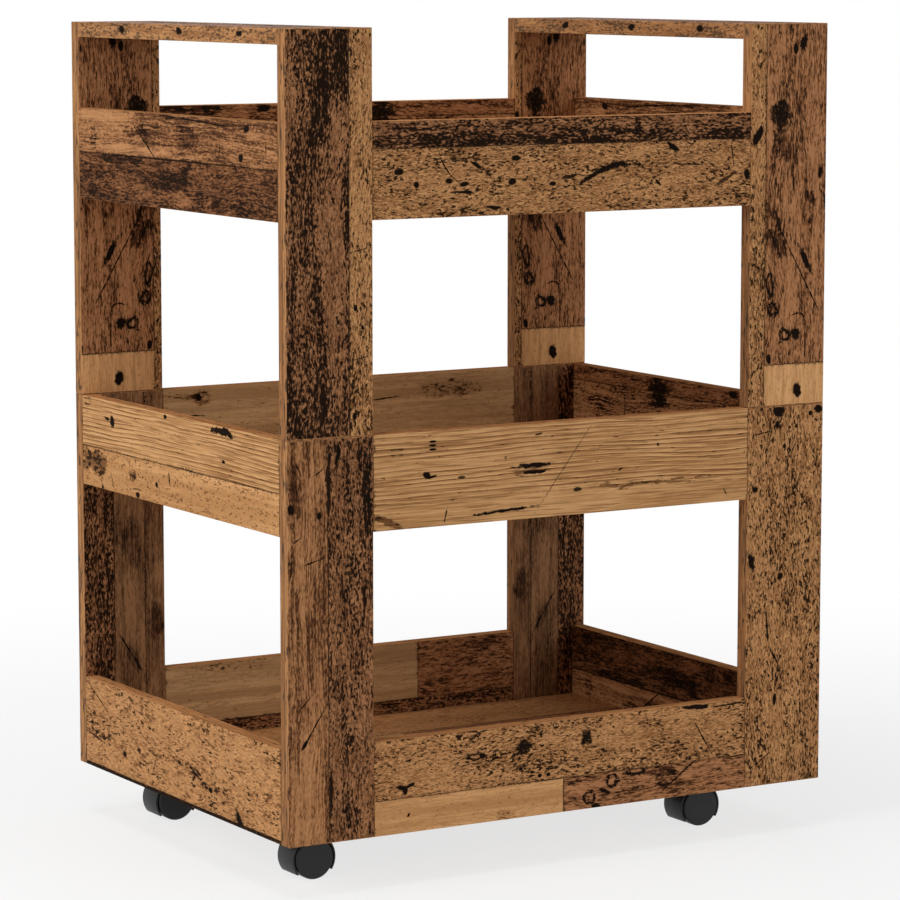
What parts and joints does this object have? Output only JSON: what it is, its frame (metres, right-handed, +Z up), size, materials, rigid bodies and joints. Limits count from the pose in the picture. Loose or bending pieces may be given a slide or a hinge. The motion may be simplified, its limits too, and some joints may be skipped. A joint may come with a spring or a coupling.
{
  "type": "kitchen cart",
  "caption": "Open kitchen cart with stacked tray shelves of old-wood decor board, flat handle bars at both short ends and hooded twin-wheel swivel casters.",
  "frame": {"origin": "on the floor under the wheels, below the middle of the frame", "axes": "+Z up, +X along the long side, -Y is the front long side"},
  "size_m": [0.6, 0.45, 0.8],
  "materials": {
    "decor_board": "matt printed old-wood decor on engineered board with a matching edge band",
    "dowel_beech": "bare fluted beech",
    "hood_plastic": "fine moulded satin black",
    "wheel_plastic": "satin black nylon",
    "zinc_steel": "bright zinc"
  },
  "bodies": {
    "frame": {"front_left_lower_post": "decor_board", "front_left_upper_post": "decor_board", "front_right_lower_post": "decor_board", "front_right_upper_post": "decor_board", "back_left_lower_post": "decor_board", "back_left_upper_post": "decor_board", "back_right_lower_post": "decor_board", "back_right_upper_post": "decor_board", "bottom_front_rail": "decor_board", "bottom_back_rail": "decor_board", "bottom_left_rail": "decor_board", "bottom_right_rail": "decor_board", "middle_front_rail": "decor_board", "middle_back_rail": "decor_board", "middle_left_rail": "decor_board", "middle_right_rail": "decor_board", "top_front_rail": "decor_board", "top_back_rail": "decor_board", "top_left_rail": "decor_board", "top_right_rail": "decor_board", "bottom_floor": "decor_board", "middle_floor": "decor_board", "top_floor": "decor_board", "left_handle_bar": "decor_board", "right_handle_bar": "decor_board", "wooden_dowels": "dowel_beech", "caster_plates": "zinc_steel", "caster_kingpins": "zinc_steel", "caster_screws": "zinc_steel"},
    "front_left_caster": {"front_left_caster_hood": "hood_plastic", "front_left_caster_axle": "zinc_steel"},
    "front_left_caster_front_wheel": {"front_left_caster_front_wheel": "wheel_plastic"},
    "front_left_caster_back_wheel": {"front_left_caster_back_wheel": "wheel_plastic"},
    "front_right_caster": {"front_right_caster_hood": "hood_plastic", "front_right_caster_axle": "zinc_steel"},
    "front_right_caster_front_wheel": {"front_right_caster_front_wheel": "wheel_plastic"},
    "front_right_caster_back_wheel": {"front_right_caster_back_wheel": "wheel_plastic"},
    "back_left_caster": {"back_left_caster_hood": "hood_plastic", "back_left_caster_axle": "zinc_steel"},
    "back_left_caster_front_wheel": {"back_left_caster_front_wheel": "wheel_plastic"},
    "back_left_caster_back_wheel": {"back_left_caster_back_wheel": "wheel_plastic"},
    "back_right_caster": {"back_right_caster_hood": "hood_plastic", "back_right_caster_axle": "zinc_steel"},
    "back_right_caster_front_wheel": {"back_right_caster_front_wheel": "wheel_plastic"},
    "back_right_caster_back_wheel": {"back_right_caster_back_wheel": "wheel_plastic"}
  },
  "joints": [
    {"name": "front_left_caster_swivel", "type": "hinge", "parent": "frame", "child": "front_left_caster", "pos_m": [-0.22, -0.145, 0.05], "axis": [0, 0, 1], "continuous": true},
    {"name": "front_left_caster_front_wheel_roll", "type": "hinge", "parent": "front_left_caster", "child": "front_left_caster_front_wheel", "pos_m": [-0.2385, -0.145, 0.02], "axis": [0, 1, 0], "continuous": true},
    {"name": "front_left_caster_back_wheel_roll", "type": "hinge", "parent": "front_left_caster", "child": "front_left_caster_back_wheel", "pos_m": [-0.2385, -0.145, 0.02], "axis": [0, 1, 0], "continuous": true},
    {"name": "front_right_caster_swivel", "type": "hinge", "parent": "frame", "child": "front_right_caster", "pos_m": [0.22, -0.145, 0.05], "axis": [0, 0, 1], "continuous": true},
    {"name": "front_right_caster_front_wheel_roll", "type": "hinge", "parent": "front_right_caster", "child": "front_right_caster_front_wheel", "pos_m": [0.2015, -0.145, 0.02], "axis": [0, 1, 0], "continuous": true},
    {"name": "front_right_caster_back_wheel_roll", "type": "hinge", "parent": "front_right_caster", "child": "front_right_caster_back_wheel", "pos_m": [0.2015, -0.145, 0.02], "axis": [0, 1, 0], "continuous": true},
    {"name": "back_left_caster_swivel", "type": "hinge", "parent": "frame", "child": "back_left_caster", "pos_m": [-0.22, 0.145, 0.05], "axis": [0, 0, 1], "continuous": true},
    {"name": "back_left_caster_front_wheel_roll", "type": "hinge", "parent": "back_left_caster", "child": "back_left_caster_front_wheel", "pos_m": [-0.2385, 0.145, 0.02], "axis": [0, 1, 0], "continuous": true},
    {"name": "back_left_caster_back_wheel_roll", "type": "hinge", "parent": "back_left_caster", "child": "back_left_caster_back_wheel", "pos_m": [-0.2385, 0.145, 0.02], "axis": [0, 1, 0], "continuous": true},
    {"name": "back_right_caster_swivel", "type": "hinge", "parent": "frame", "child": "back_right_caster", "pos_m": [0.22, 0.145, 0.05], "axis": [0, 0, 1], "continuous": true},
    {"name": "back_right_caster_front_wheel_roll", "type": "hinge", "parent": "back_right_caster", "child": "back_right_caster_front_wheel", "pos_m": [0.2015, 0.145, 0.02], "axis": [0, 1, 0], "continuous": true},
    {"name": "back_right_caster_back_wheel_roll", "type": "hinge", "parent": "back_right_caster", "child": "back_right_caster_back_wheel", "pos_m": [0.2015, 0.145, 0.02], "axis": [0, 1, 0], "continuous": true}
  ]
}
